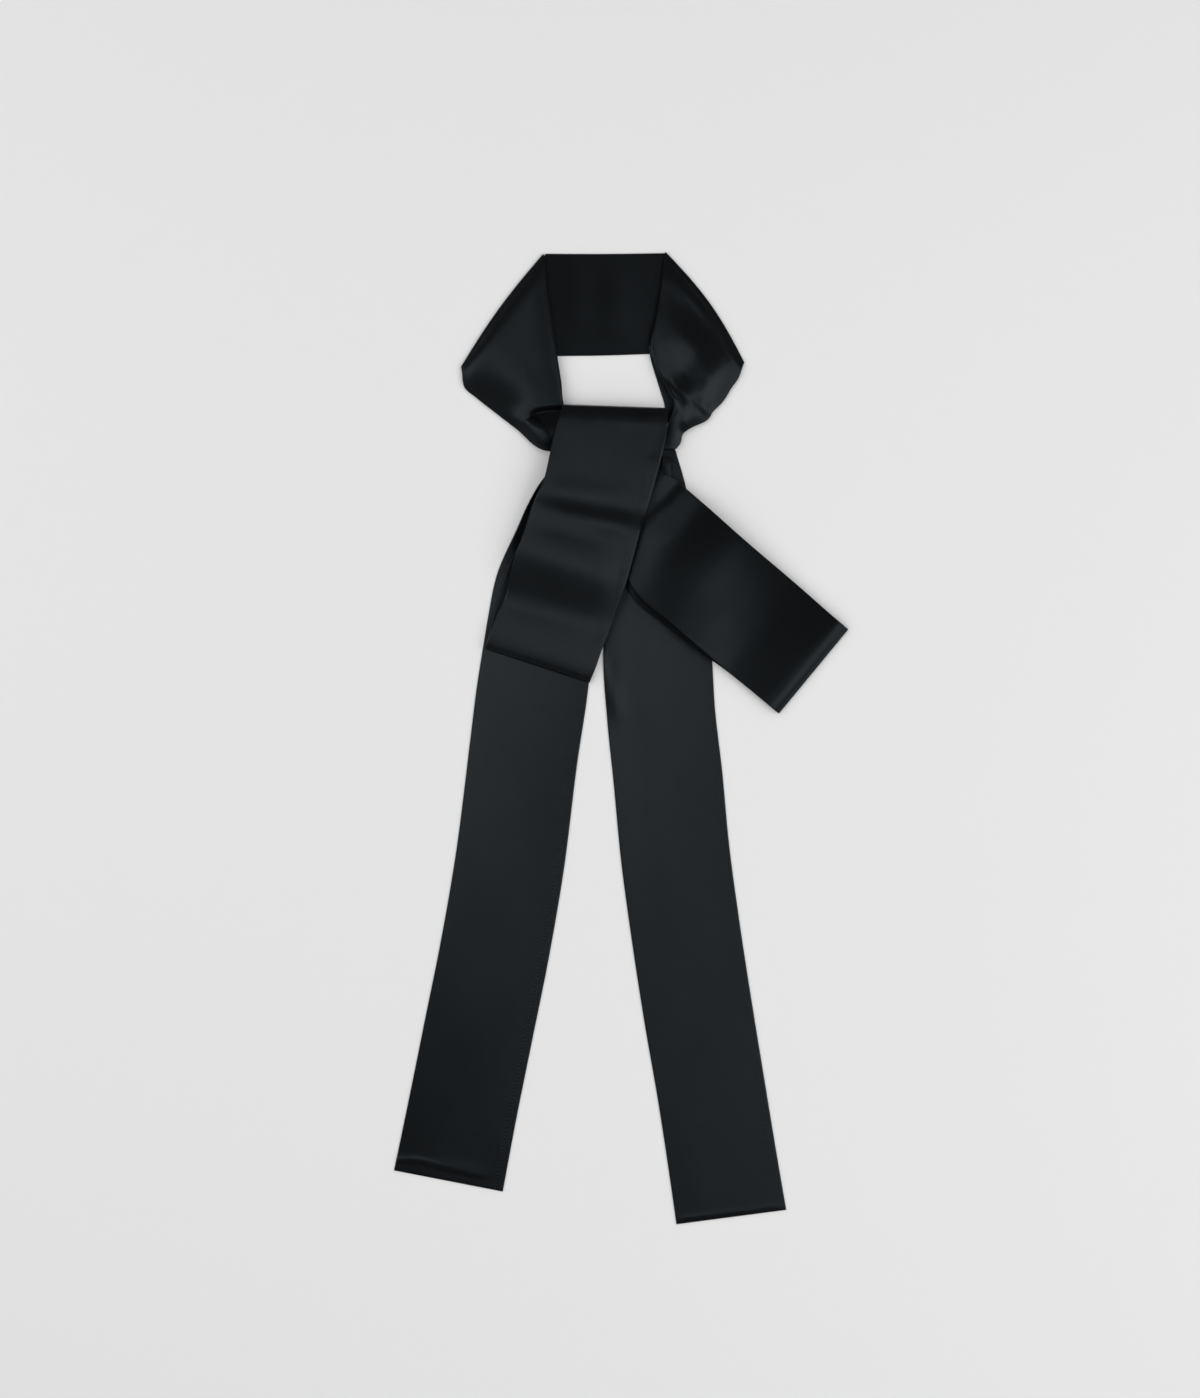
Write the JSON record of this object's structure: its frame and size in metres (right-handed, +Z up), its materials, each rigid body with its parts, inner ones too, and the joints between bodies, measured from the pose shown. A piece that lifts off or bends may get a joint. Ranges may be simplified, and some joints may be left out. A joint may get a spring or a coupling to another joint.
{
  "type": "neck scarf",
  "caption": "Long narrow black satin scarf laid flat as if round a neck and tied at the front in a soft bow, with a loop over the knot, a loop to the side and long tails.",
  "frame": {"origin": "centre of the scarf's outline, on the surface that it lies on", "axes": "+Z up from the surface, +Y towards the stretch behind the neck, +X towards the side loop"},
  "size_m": [0.2954, 0.6312, 0.0108],
  "materials": {
    "satin": "black satin, soft sheen along the band"
  },
  "bodies": {
    "root": {"front_loop": "satin", "knot": "satin", "knot_strand": "satin", "left_tail": "satin", "neck_back": "satin", "neck_left": "satin", "neck_right": "satin", "neck_tuck": "satin", "right_tail": "satin", "side_loop": "satin"}
  },
  "joints": []
}
